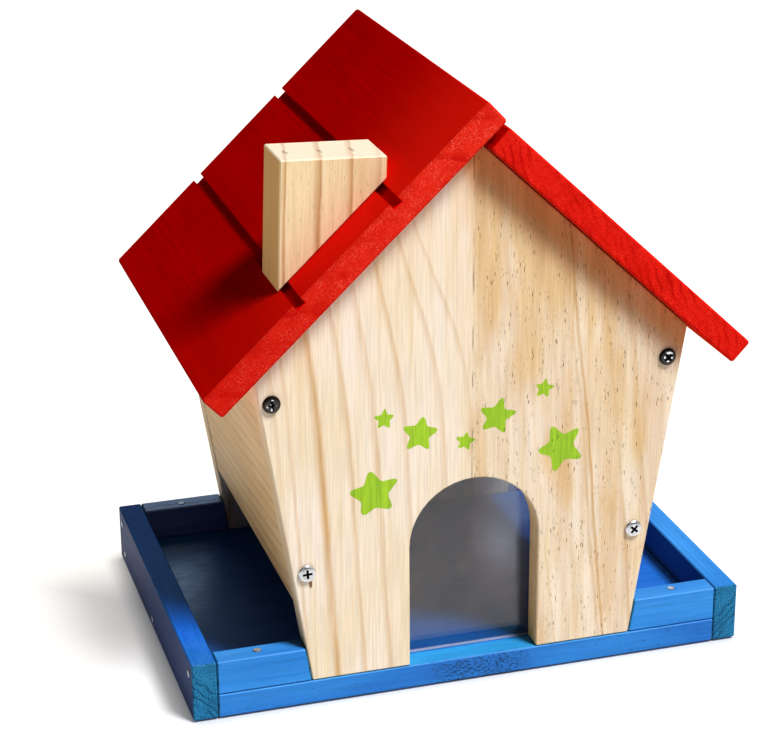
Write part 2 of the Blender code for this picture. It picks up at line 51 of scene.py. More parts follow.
# ---- places: two read from the CAD frame, the others as the boards were cut -----------
FRONT_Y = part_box("front_panel")[0].y
board_low, board_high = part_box("base_board")
PITCH = math.radians(43.2)               # slope of both halves of the roof
FLARE = math.atan(0.156)                 # how far the side walls lean outward
LEAN = math.radians(2.4)                 # and the chimney to one side
APEX = Vector((0.0, 0.0, 0.2726))        # where the undersides of the roof boards meet
DOWN_LEFT = Vector((-math.cos(PITCH), 0.0, -math.sin(PITCH)))
DOWN_RIGHT = Vector((math.cos(PITCH), 0.0, -math.sin(PITCH)))
OUT_LEFT = Vector((-math.sin(PITCH), 0.0, math.cos(PITCH)))
OUT_RIGHT = Vector((math.sin(PITCH), 0.0, math.cos(PITCH)))

# each board's grain frame: origin, across the grain, along it, and through the board
GRAIN_FRONT = (Vector((0.0, FRONT_Y, 0.0)), X, Z, Y)
GRAIN_REAR = (Vector((0.13, 0.094, 0.0)), -X, Z, -Y)
GRAIN_LEFT = (Vector((-0.086, 0.0, 0.05)), Vector((-math.sin(FLARE), 0, math.cos(FLARE))),
              Y, Vector((-math.cos(FLARE), 0, -math.sin(FLARE))))
GRAIN_RIGHT = (Vector((0.086, 0.0, 0.05)), Vector((math.sin(FLARE), 0, math.cos(FLARE))),
               Y, Vector((math.cos(FLARE), 0, -math.sin(FLARE))))
GRAIN_CHIMNEY = (Vector((-0.0906, -0.0818, 0.2058)),
                 Vector((math.cos(LEAN), 0, -math.sin(LEAN))),
                 Vector((math.sin(LEAN), 0, math.cos(LEAN))), Y)
GRAIN_LEFT_ROOF = (APEX, DOWN_LEFT, Y, OUT_LEFT)
GRAIN_RIGHT_ROOF = (APEX, DOWN_RIGHT, Y, OUT_RIGHT)
GRAIN_BASE = (Vector((0, 0, 0)), Y, X, Z)
GRAIN_LONG_RAIL = {
    "left": (Vector((0, 0, 0)), Z, Y, X),
    "right": (Vector((0, 0, 0)), Z, Y, -X),
}
GRAIN_SHORT_RAIL = (Vector((0, 0, 0)), Z, X, Y)


# ---- shader graph helper ---------------------------------------------------------------
class Graph:
    """A small wrapper that builds one node material."""

    def __init__(self, name):
        self.material = bpy.data.materials.new(name)
        self.material.use_nodes = True
        self.tree = self.material.node_tree
        self.shader = self.tree.nodes["Principled BSDF"]
        self.coords = self.tree.nodes.new("ShaderNodeTexCoord")

    def put(self, socket, value):
        """Link a socket's source, or set its plain value."""
        if isinstance(value, bpy.types.NodeSocket):
            self.tree.links.new(value, socket)
        else:
            socket.default_value = value

    def math(self, operation, a, b=0.0):
        node = self.tree.nodes.new("ShaderNodeMath")
        node.operation = operation
        self.put(node.inputs[0], a)
        self.put(node.inputs[1], b)
        return node.outputs[0]

    def add(self, a, b):
        return self.math("ADD", a, b)

    def sub(self, a, b):
        return self.math("SUBTRACT", a, b)

    def mul(self, a, b):
        return self.math("MULTIPLY", a, b)

    def length(self, a, b):
        """Length of a vector with these two parts."""
        return self.math("SQRT", self.add(self.mul(a, a), self.mul(b, b)))

    def dot(self, vector, direction):
        node = self.tree.nodes.new("ShaderNodeVectorMath")
        node.operation = "DOT_PRODUCT"
        self.put(node.inputs[0], vector)
        node.inputs[1].default_value = direction
        return node.outputs["Value"]

    def shifted(self, operation, vector, by):
        """A vector with another added or subtracted."""
        node = self.tree.nodes.new("ShaderNodeVectorMath")
        node.operation = operation
        self.put(node.inputs[0], vector)
        self.put(node.inputs[1], by)
        return node.outputs[0]

    def vector(self, x, y, z):
        node = self.tree.nodes.new("ShaderNodeCombineXYZ")
        for socket, value in zip(node.inputs, (x, y, z)):
            self.put(socket, value)
        return node.outputs[0]

    def noise(self, vector, scale=1.0, detail=2.0, roughness=0.5, distortion=0.0):
        node = self.tree.nodes.new("ShaderNodeTexNoise")
        self.put(node.inputs["Vector"], vector)
        node.inputs["Scale"].default_value = scale
        node.inputs["Detail"].default_value = detail
        node.inputs["Roughness"].default_value = roughness
        node.inputs["Distortion"].default_value = distortion
        return node.outputs["Fac"]

    def cells(self, vector):
        """Distance to the nearest of a scatter of points in the first two coordinates."""
        node = self.tree.nodes.new("ShaderNodeTexVoronoi")
        node.voronoi_dimensions = "2D"
        self.put(node.inputs["Vector"], vector)
        node.inputs["Scale"].default_value = 1.0
        return node.outputs["Distance"]

    def spot(self, across, up, centre, radii, ragged=0.0):
        """A soft-edged oval mark."""
        x = self.math("DIVIDE", self.sub(across, centre[0]), radii[0])
        y = self.math("DIVIDE", self.sub(up, centre[1]), radii[1])
        return self.fade(self.add(self.length(x, y), ragged), 0.75, 1.15, 1.0, 0.0)

    def ramp(self, factor, stops):
        """Piecewise linear grey ramp: stops are (position, value) in rising order."""
        node = self.tree.nodes.new("ShaderNodeValToRGB")
        self.put(node.inputs[0], factor)
        band = node.color_ramp
        while len(band.elements) < len(stops):
            band.elements.new(0.5)
        for element, (position, value) in zip(band.elements, stops):
            element.position = position
            element.color = (value, value, value, 1.0)
        return node.outputs["Color"]

    def fade(self, value, low, high, to_low=0.0, to_high=1.0):
        """Smoothly map a value between two limits."""
        node = self.tree.nodes.new("ShaderNodeMapRange")
        node.interpolation_type = "SMOOTHSTEP"
        self.put(node.inputs["Value"], value)
        node.inputs["From Min"].default_value = low
        node.inputs["From Max"].default_value = high
        node.inputs["To Min"].default_value = to_low
        node.inputs["To Max"].default_value = to_high
        return node.outputs["Result"]

    def mix(self, factor, a, b, blend="MIX"):
        node = self.tree.nodes.new("ShaderNodeMix")
        node.data_type = "RGBA"
        node.blend_type = blend
        self.put(node.inputs["Factor"], factor)
        self.put(node.inputs[6], a)
        self.put(node.inputs[7], b)
        return node.outputs[2]

    def tint(self, where, colour, tone):
        """Multiply a colour by a tone where the mask is on."""
        return self.mix(where, colour, self.mix(1.0, colour, tone, "MULTIPLY"))

    def shade(self, colour, grey):
        """Multiply a colour by one grey value."""
        return self.mix(1.0, colour, self.vector(grey, grey, grey), "MULTIPLY")

    def bump(self, height, distance, strength=1.0):
        node = self.tree.nodes.new("ShaderNodeBump")
        node.inputs["Strength"].default_value = strength
        node.inputs["Distance"].default_value = distance
        self.put(node.inputs["Height"], height)
        self.put(self.shader.inputs["Normal"], node.outputs[0])

    def finish(self, colour, roughness, **plain):
        self.put(self.shader.inputs["Base Color"], colour)
        self.put(self.shader.inputs["Roughness"], roughness)
        for name, value in plain.items():
            self.shader.inputs[name.replace("_", " ")].default_value = value
        return self.material


def rgb(red, green, blue):
    """Linear colour of a display colour given from 0 to 255."""
    def linear(c):
        c /= 255.0
        return c / 12.92 if c <= 0.04045 else ((c + 0.055) / 1.055) ** 2.4
    return (linear(red), linear(green), linear(blue), 1.0)


# ---- wood ------------------------------------------------------------------------------
class Board:
    """Grain coordinates of one board in millimetres: across, along the grain, and depth."""

    def __init__(self, g, origin, across, along, depth):
        self.g = g
        place = g.shifted("SUBTRACT", g.coords.outputs["Object"], origin)
        self.u = g.dot(place, across * TO_MM)
        self.v = g.dot(place, along * TO_MM)
        self.w = g.dot(place, depth * TO_MM)
        normal = g.coords.outputs["Normal"]
        self.front = g.fade(g.dot(normal, depth), -0.9, -0.6, 1.0, 0.0)
        self.back = g.fade(g.dot(normal, depth), 0.6, 0.9)
        self.end_grain = g.fade(g.math("ABSOLUTE", g.dot(normal, along)), 0.45, 0.7)
        self.edge = g.fade(g.math("ABSOLUTE", g.dot(normal, across)), 0.6, 0.9)

    def stretched(self, across, along):
        """Coordinates scaled for a noise with these feature rates per millimetre."""
        g = self.g
        return g.vector(g.mul(self.u, across), g.mul(self.v, along), g.mul(self.w, across))

    def noise(self, across, along, detail, roughness=0.5):
        """Noise with these feature rates per millimetre, across and along the grain."""
        return self.g.noise(self.stretched(across, along), 1.0, detail, roughness)

    def centred(self, across, along, detail=2.0):
        """The same about zero."""
        return self.g.sub(self.noise(across, along, detail), 0.5)


RAMP_STEP = 0.0005                # least distance between two stops of a ramp


def line_mask(g, radius, lines, low, high):
    """Growth lines as a ramp over the ring coordinate: (place, soft, sharp, strength)."""
    span = high - low
    stops = [(0.0, 0.0)]
    for place, soft, sharp, strength in sorted(lines):
        for position, value in ((place - soft, 0.0), (place, strength), (place + sharp, 0.0)):
            step = (position - low) / span
            stops.append((max(step, stops[-1][0] + RAMP_STEP), value))
    return g.ramp(g.math("DIVIDE", g.sub(radius, low), span), stops)


class Grain:
    """Grain fields of a board: rings, fibres, pores and end grain, as node sockets."""

    SEED_SHIFT = (3.7, 1.9, 5.3)
    # one growth ring, from the last one's end: pale spring wood, then a dark summer line
    RING = ((0.0, 0.12), (0.35, 0.0), (0.62, 0.25), (0.86, 0.9), (0.93, 1.0), (1.0, 0.12))
    yellow = None                 # mask of yellow heartwood, where a board has some
    end_marks = None              # mask of dark flecks on the end grain

    def __init__(self, g, board, seed, pith=(-90.0, -70.0), spacing=13.0, drift=0.05,
                 wander=1.6, pores=0.0):
        shift = g.vector(*(seed * step for step in self.SEED_SHIFT))
        place = g.shifted("ADD", board.stretched(0.028, 0.008), shift)
        waves = g.sub(g.noise(place, 1.0, 3.0), 0.5)
        tilted = g.add(g.sub(board.u, pith[0]), g.mul(board.v, drift))
        distance = g.length(tilted, g.sub(board.w, pith[1]))
        radius = g.add(distance, g.mul(waves, wander * 6.0))
        turns = g.math("FRACT", g.math("DIVIDE", radius, spacing))
        vary = board.noise(0.05, 0.012, 2.0)
        self.rings = g.mul(g.ramp(turns, self.RING), g.fade(vary, 0.3, 0.7, 0.35, 1.0))
        self.add_fine(g, board, pores)

    def add_fine(self, g, board, pores):
        """Fields that every board has: fibres, streaks, blotches, pores, end speckle."""
        self.fibres = board.noise(1.1, 0.035, 4.0, 0.62)
        self.streaks = board.noise(0.22, 0.007, 3.0, 0.55)
        self.blotch = board.noise(0.03, 0.012, 2.0)
        shifted = g.add(board.u, g.mul(board.w, 0.7))
        wavy = g.add(shifted, g.mul(board.noise(0.05, 0.02, 1.0), 3.0))
        large = g.cells(g.vector(g.mul(wavy, 0.50), g.mul(board.v, 0.070), 0.0))
        small = g.cells(g.vector(g.mul(wavy, 0.95), g.mul(board.v, 0.15), 0.0))
        dashes = g.math("MAXIMUM", g.fade(large, 0.055, 0.110, 1.0, 0.0),
                        g.fade(small, 0.065, 0.125, 0.7, 0.0))
        where = board.noise(0.13, 0.010, 2.0)
        sparse = board.noise(0.35, 0.06, 1.0)
        room = g.mul(g.fade(where, 0.34, 0.50), g.fade(sparse, 0.42, 0.60))
        self.pores = g.mul(g.mul(dashes, room), pores)
        self.end_spots = board.noise(1.5, 1.5, 3.0, 0.7)


class FrontGrain(Grain):
    """The front gable: two boards glued side by side, the left one clean, the right pored."""

    # growth lines at the foot: place, soft side, sharp side, strength
    LEFT = ((-99.0, 2.4, 0.9, 0.30), (-89.5, 2.4, 1.0, 0.36), (-83.5, 2.0, 0.9, 0.48),
            (-70.0, 3.4, 2.2, 0.95), (-56.0, 2.6, 1.1, 0.52), (-43.0, 3.4, 1.4, 0.46),
            (-28.6, 2.8, 1.2, 0.55), (-10.0, 3.2, 1.1, 0.40), (4.0, 2.4, 0.9, 0.36))
    LEFT_SPAN = (-115.0, 30.0)
    RIGHT = ((8.0, 4.0, 1.2, 0.25), (18.0, 6.0, 3.0, 0.30), (31.0, 7.0, 5.0, 0.40),
             (37.0, 1.2, 0.5, 0.45), (50.0, 6.0, 3.0, 0.35), (60.5, 1.6, 0.7, 0.70),
             (63.3, 2.0, 0.7, 1.00), (78.5, 5.0, 1.0, 0.60), (90.0, 5.0, 3.0, 0.55),
             (101.0, 4.0, 2.0, 0.45))
    RIGHT_SPAN = (-30.0, 120.0)
    SEAM = -1.6                   # where the two boards meet
    CHIP_PLACE = (-81.4, 63.4)    # a splinter torn out below the lower left screw
    CHIP_SIZE = (0.8, 1.9)
    CHIP_SHOW = 0.9
    PORES = 0.9

    def __init__(self, g, board, seed):
        waves = board.centred(0.02, 0.012)
        ripple = board.centred(0.3, 0.045)
        on_right = g.fade(board.u, self.SEAM - 0.25, self.SEAM + 0.25)
        left_rings = line_mask(g, self.left_place(g, board, waves, ripple), self.LEFT,
                               *self.LEFT_SPAN)
        right_rings = line_mask(g, self.right_place(g, board, waves, ripple), self.RIGHT,
                                *self.RIGHT_SPAN)
        broad = g.fade(board.noise(0.075, 0.006, 2.0), 0.42, 0.62, 0.0, 0.4)
        right_rings = g.math("MAXIMUM", right_rings, broad)
        rings = g.add(g.mul(left_rings, g.sub(1.0, on_right)), g.mul(right_rings, on_right))
        vary = board.noise(0.04, 0.014, 2.0)
        self.rings = g.mul(rings, g.fade(vary, 0.3, 0.65, 0.55, 1.0))
        self.add_fine(g, board, self.PORES)
        patches = board.noise(0.05, 0.014, 3.0)
        lift = g.fade(board.v, 120.0, 230.0, 0.0, 0.14)
        near = g.fade(board.u, -17.0, 4.0)
        self.yellow = g.mul(g.fade(g.add(patches, lift), 0.44, 0.68, 0.0, 0.62), near)
        few = g.fade(board.u, -75.0, -10.0, 0.0, 0.10)
        pores = g.mul(self.pores, g.math("MAXIMUM", on_right, few))
        pores = g.math("MAXIMUM", pores, self.seam_line(g, board))
        ragged = g.mul(board.centred(1.2, 0.8), 1.4)
        chip = g.spot(board.u, board.v, self.CHIP_PLACE, self.CHIP_SIZE, ragged)
        self.pores = g.math("MAXIMUM", pores, g.mul(chip, self.CHIP_SHOW))

    def left_place(self, g, board, waves, ripple):
        """Ring coordinate of the left board: its lines lean, and bend over near the top."""
        rise = g.math("MAXIMUM", g.math("DIVIDE", g.sub(board.v, 140.0), 60.0), 0.0)
        bend = g.fade(board.u, -60.0, -8.0, 4.0, 11.0)
        lean = g.add(g.mul(g.sub(board.v, 40.0), 0.060), g.mul(bend, g.mul(rise, rise)))
        place = g.add(g.add(board.u, lean), g.add(g.mul(waves, 2.4), g.mul(ripple, 1.3)))
        return g.add(place, g.mul(board.w, 0.35))

    def right_place(self, g, board, waves, ripple):
        """Ring coordinate of the right board: its lines lean a little more and wander."""
        place = g.add(board.u, g.mul(g.sub(board.v, 60.0), 0.105))
        place = g.add(place, g.add(g.mul(waves, 5.0), g.mul(ripple, 1.6)))
        return g.add(place, g.mul(board.w, -0.25))

    def seam_line(self, g, board):
        """The glue line, which shows here and there."""
        off = g.math("ABSOLUTE", g.sub(board.u, self.SEAM))
        dotted = g.fade(board.noise(0.1, 0.06, 2.0), 0.45, 0.6)
        return g.mul(g.fade(off, 0.12, 0.5, 0.55, 0.0), dotted)


class ChimneyGrain(Grain):
    """The chimney block: tan bands up its front, a dark fleck where three meet the top."""

    LINES = ((2.6, 1.6, 0.6, 0.80), (18.6, 3.2, 1.0, 0.85), (33.5, 3.0, 0.9, 0.75),
             (46.0, 2.5, 1.0, 0.40))
    SPAN = (-12.0, 60.0)
    PORES = 0.35
    FLECKED = 3                   # the first of the lines that end in a fleck
    FLECK_ASIDE = 3.0             # millimetres from its line
    FLECK_DEEP = 13.0             # and behind the block's front
    FLECK_SIZE = (1.1, 3.2)
    FLECK_SHOW = 0.5

    def __init__(self, g, board, seed):
        ripple = board.centred(0.15, 0.03)
        place = g.add(board.u, g.add(g.mul(ripple, 2.2), g.mul(board.w, -0.22)))
        self.rings = line_mask(g, place, self.LINES, *self.SPAN)
        self.add_fine(g, board, self.PORES)
        ragged = g.mul(board.centred(0.9, 0.9), 1.6)
        self.end_marks = 0.0
        for line in self.LINES[:self.FLECKED]:
            centre = (line[0] + self.FLECK_ASIDE, self.FLECK_DEEP)
            fleck = g.spot(board.u, board.w, centre, self.FLECK_SIZE, ragged)
            self.end_marks = g.math("MAXIMUM", self.end_marks, g.mul(fleck, self.FLECK_SHOW))


# ---- bare pine -------------------------------------------------------------------------
# palettes: two pale tones, the tan of the streaks, the rings' tone and the pores' tone
PINE_PALETTE = (
    (rgb(238, 225, 210), rgb(234, 218, 193)),
    rgb(222, 196, 148),
    rgb(200, 156, 96),
    rgb(118, 80, 46),
)
# the left wall, which stands in shade, has a warmer, yellower palette as painted shade
PAINTED_SHADE_PALETTE = (
    (rgb(250, 216, 162), rgb(242, 203, 144)),
    rgb(226, 181, 117),
    rgb(184, 136, 78),
    rgb(90, 58, 32),
)
CHIMNEY_PALETTE = (
    (rgb(241, 222, 184), rgb(236, 213, 170)),
    rgb(226, 196, 146),
    rgb(190, 140, 82),
    rgb(112, 72, 40),
)
STAR_PALETTE = (
    (rgb(168, 204, 52), rgb(158, 196, 44)),
    rgb(142, 186, 40),
    rgb(116, 164, 34),
    rgb(74, 110, 22),
)
HEART_YELLOW = rgb(221, 184, 124)
# painted shade: edge faces such as the doorway's jamb and the chimney's sides get the warmer
# tone they show in shade
PAINTED_SHADE_EDGE_TINT = (1.08, 0.96, 0.74, 1.0)
CHIMNEY_PAINTED_SHADE_TINT = (0.92, 0.63, 0.24, 1.0)
CHIMNEY_ENDS = (rgb(238, 218, 190), rgb(246, 234, 216))
# painted shadow: the warm, dark tone of the shade under the right roof board's overhang
PAINTED_EAVE_SHADE = (0.78, 0.46, 0.26, 1.0)
EAVE_BAND = (-24.0, -7.0)         # millimetres below the lid's underside
EAVE_FROM = (-14.0, -4.0)         # and to the right of these
PINE_GLOSS = (0.50, 0.66)
PINE_SHINE = 0.35
PINE_BUMP = (0.00022, 0.55)       # depth in metres, and strength
STREAKS_SHOW = 0.45
RINGS_ON_ENDS = 0.55
ENDS_SHOW = 0.75


def pine(name, seed, frame_of_grain, palette=PINE_PALETTE, rings=1.0, grain_maker=Grain,
         shade_edge_tint=PAINTED_SHADE_EDGE_TINT, painted_shadow=None, heart=True, end_tones=None, fibre=(0.90, 1.05),
         **options):
    """Bare planed pine."""
    g = Graph(name)
    board = Board(g, *frame_of_grain)
    grain = grain_maker(g, board, seed, **options)
    pale, tan, deep, pore = palette
    colour = g.mix(g.fade(grain.blotch, 0.35, 0.7), *pale)
    colour = g.mix(g.mul(g.fade(grain.streaks, 0.45, 0.75), STREAKS_SHOW), colour, tan)
    if heart and grain.yellow is not None:
        colour = g.mix(grain.yellow, colour, HEART_YELLOW)
    colour = g.mix(g.mul(grain.rings, rings), colour, deep)
    colour = g.shade(colour, g.fade(grain.fibres, 0.3, 0.7, *fibre))
    colour = g.mix(grain.pores, colour, pore)
    # painted shade on the edge faces
    colour = g.tint(board.edge, colour, shade_edge_tint)
    # painted shadow under the right roof board's overhang
    if painted_shadow is not None:
        colour = g.tint(painted_shadow(g, board), colour, PAINTED_EAVE_SHADE)
    ends = g.mix(g.fade(grain.end_spots, 0.35, 0.7), *(end_tones or (tan, pale[1])))
    ends = g.mix(g.mul(grain.rings, RINGS_ON_ENDS), ends, deep)
    if grain.end_marks is not None:
        ends = g.mix(grain.end_marks, ends, pore)
    colour = g.mix(g.mul(board.end_grain, ENDS_SHOW), colour, ends)
    height = g.add(g.mul(grain.fibres, 0.55), g.mul(grain.rings, 0.5))
    height = g.sub(height, g.mul(grain.pores, 1.6))
    g.bump(height, *PINE_BUMP)
    rough = g.fade(g.add(grain.fibres, g.mul(grain.rings, -0.25)), 0.2, 0.8, *PINE_GLOSS)
    return g.finish(colour, rough, Specular_IOR_Level=PINE_SHINE)


def painted_eave_shadow(g, board):
    """Painted shadow: a warm dark band on the gable where the right roof board overhangs it."""
    height = g.add(g.mul(board.u, math.sin(PITCH)),
                   g.mul(g.sub(board.v, APEX.z * TO_MM), math.cos(PITCH)))
    soft = g.mul(board.centred(0.2, 0.05), 3.0)
    return g.mul(g.fade(g.add(height, soft), *EAVE_BAND), g.fade(board.u, *EAVE_FROM))


# ---- stained pine ----------------------------------------------------------------------
# face and dark are the coat and its darker streaks, end tones are those of the end grain,
# and under is the thinner coat on a roof board's underside
RED = dict(face=rgb(190, 0, 0), dark=rgb(166, 0, 0), end=rgb(226, 56, 38),
           end_dark=rgb(186, 12, 8), end_pale=rgb(252, 150, 130), under=rgb(226, 66, 34))
RED_LID = dict(face=rgb(196, 2, 1), dark=rgb(160, 0, 0), end=rgb(224, 40, 27),
               end_dark=rgb(172, 3, 3), end_pale=rgb(240, 84, 66), under=rgb(226, 66, 34))
BLUE = dict(face=rgb(50, 138, 210), dark=rgb(34, 116, 194), end=rgb(56, 140, 184),
            end_dark=rgb(12, 58, 90), end_pale=rgb(80, 170, 202))
PALE_BLUE = dict(BLUE, face=rgb(72, 154, 222), dark=rgb(52, 134, 208))
# painted light: a much paler coat for the rear left short rail, which lies in shade
PAINTED_LIGHT_BLUE = dict(BLUE, face=rgb(150, 196, 252), dark=rgb(104, 150, 222),
                   end_dark=rgb(4, 12, 24))

ROOF_GLOSS = (0.5, 0.65)
FIBRE_CONTRAST = (0.88, 1.09)
RINGS_IN_COAT = 0.35
STREAKS_UNDER = 0.45
CLOUDS_ON_ENDS = 0.25
STREAKS_ON_ENDS = 0.75
STAIN_BUMP = (0.00025, 0.6)       # depth in metres, and strength

# painted light: a bright red on the grooves' floors, which would lie in shadow
PAINTED_GROOVE_LIGHT = (0.95, 0.002, 0.002, 1.0)
GROOVE_BELOW = (11.4, 12.4)       # the grooves lie between these heights in the board
GROOVE_ABOVE = (6.0, 9.0)
BRIGHTER_RED = rgb(240, 34, 16)
# painted shade: darkens the eased ridge edge, which faces the other half and catches the light
PAINTED_RIDGE_SHADE = (0.5, 0.35, 0.35, 1.0)         # the edge that faces the other half

# painted sheen: a pale blue tone where the tray floor is rubbed smooth
PAINTED_SHEEN_TONE = rgb(140, 196, 255)
PAINTED_SHEEN_SHARE = 0.9
RUBBED_SMOOTHER = 0.46
PAINTED_OUTER_SHADE = (0.10, 0.19, 0.31, 1.0)        # painted shade on the long rails' outer faces
PAINTED_INNER_SHADE = (0.45, 0.45, 0.62, 1.0)       # painted shade on the rails' faces inside the tray
PAINTED_FLOOR_SHADE = (0.55, 0.74, 0.96, 1.0)       # painted shade on the tray floor behind the front gable
DOORSTEP_TINT = (2.0, 1.8, 1.22, 1.0)       # the strip in the doorway is paler
DOORSTEP_END = (-84.0, -80.0)
TORN_DARK = 0.85
TORN_DEEP = 2.5

HATCH_TONE = rgb(112, 164, 232)   # planer marks across the left rail's top
HATCH_PITCH = 2.1
HATCH_SLANT = 0.9
HATCH_SHOW = 0.4
PAINTED_REAR_SHADE = (0.30, 0.70, 1.10, 1.0)
REAR_SHADE_FROM = (-100.0, -50.0)       # painted shade on the same top, darker toward the rear


def brighter_front_and_ridge(g, board):
    """The left roof's red is brighter toward the front and the ridge."""
    return g.mul(g.fade(board.v, -112.0, 20.0, 0.75, 0.0),
                 g.fade(board.u, 60.0, 150.0, 1.0, 0.3))


def rubbed_floor_and_sheen(g, board):
    """The tray floor is rubbed smooth beside the left rail, in fine brushed strokes, with a
    painted sheen there.
    """
    inward = g.add(board.v, g.mul(board.u, -0.22))
    place = g.mul(g.fade(inward, -144.0, -136.0), g.fade(inward, -128.0, -100.0, 1.0, 0.0))
    rear = g.mul(g.fade(board.u, -55.0, 40.0), g.fade(board.u, 68.0, 76.0, 1.0, 0.0))
    place = g.mul(place, rear)
    strokes = board.noise(0.9, 0.12, 4.0, 0.7)
    return g.mul(place, g.fade(strokes, 0.35, 0.6, 0.35, 1.0))


def torn_patch(g, board):
    """Short torn fibres along the middle of the tray board's front edge."""
    along = g.fade(g.math("ABSOLUTE", g.sub(board.v, 4.0)), 10.0, 32.0, 1.0, 0.0)
    specks = board.noise(1.3, 0.55, 3.0, 0.7)
    low = g.mul(g.fade(board.w, 10.0, 11.6, 1.0, 0.0),
                g.fade(board.u, -60.0, -50.0, 1.0, 0.0))
    return g.mul(g.mul(along, low), g.fade(specks, 0.50, 0.60))


def split_at_the_nail(g, board):
    """A drying crack that runs along the rail through its nail."""
    wander = g.mul(board.centred(0.05, 0.12, 3.0), 9.0)
    off = g.math("ABSOLUTE", g.sub(g.sub(board.w, 87.5), wander))
    return g.mul(g.fade(off, 0.15, 0.5, 0.9, 0.0), g.fade(board.u, 26.0, 28.0))


def slanted_rings(g, board, slant, spacing):
    """Growth rings crossing the end grain as slanting dark streaks."""
    bend = g.mul(board.centred(0.045, 0.045), 34.0)
    place = g.add(g.add(board.u, g.mul(board.w, slant)), g.add(bend, spacing / 2))
    turns = g.math("FRACT", g.math("DIVIDE", place, spacing))
    lines = g.ramp(turns, [(0.0, 0.0), (0.40, 0.0), (0.78, 1.0), (0.86, 0.15), (1.0, 0.0)])
    vary = board.noise(0.07, 0.07, 2.0)
    return g.mul(lines, g.fade(vary, 0.35, 0.62, 0.1, 1.0))


def stained_ends(g, board, grain, end, end_dark, end_pale, speckle, slant, end_fade):
    """End grain drinks more stain: speckled, with slanting rings and faint clouds."""
    patches = g.fade(board.noise(0.16, 0.16, 2.0), 0.38, 0.62)
    spots = g.fade(grain.end_spots, 0.34, 0.58, 1.0, 0.0)
    pale = g.fade(grain.end_spots, 0.52, 0.68)
    ends = g.mix(g.mul(spots, speckle), end, end_dark)
    ends = g.mix(g.mul(g.mul(pale, patches), speckle), ends, end_pale)
    clouds = g.fade(board.noise(0.085, 0.085, 3.0), 0.46, 0.62)
    ends = g.mix(g.mul(clouds, CLOUDS_ON_ENDS), ends, end_dark)
    streaks = slanted_rings(g, board, *slant)
    ends = g.mix(g.mul(streaks, STREAKS_ON_ENDS), ends, end_dark)
    if end_fade is not None:
        ends = g.mix(g.fade(board.u, *end_fade), ends, end_dark)
    return ends


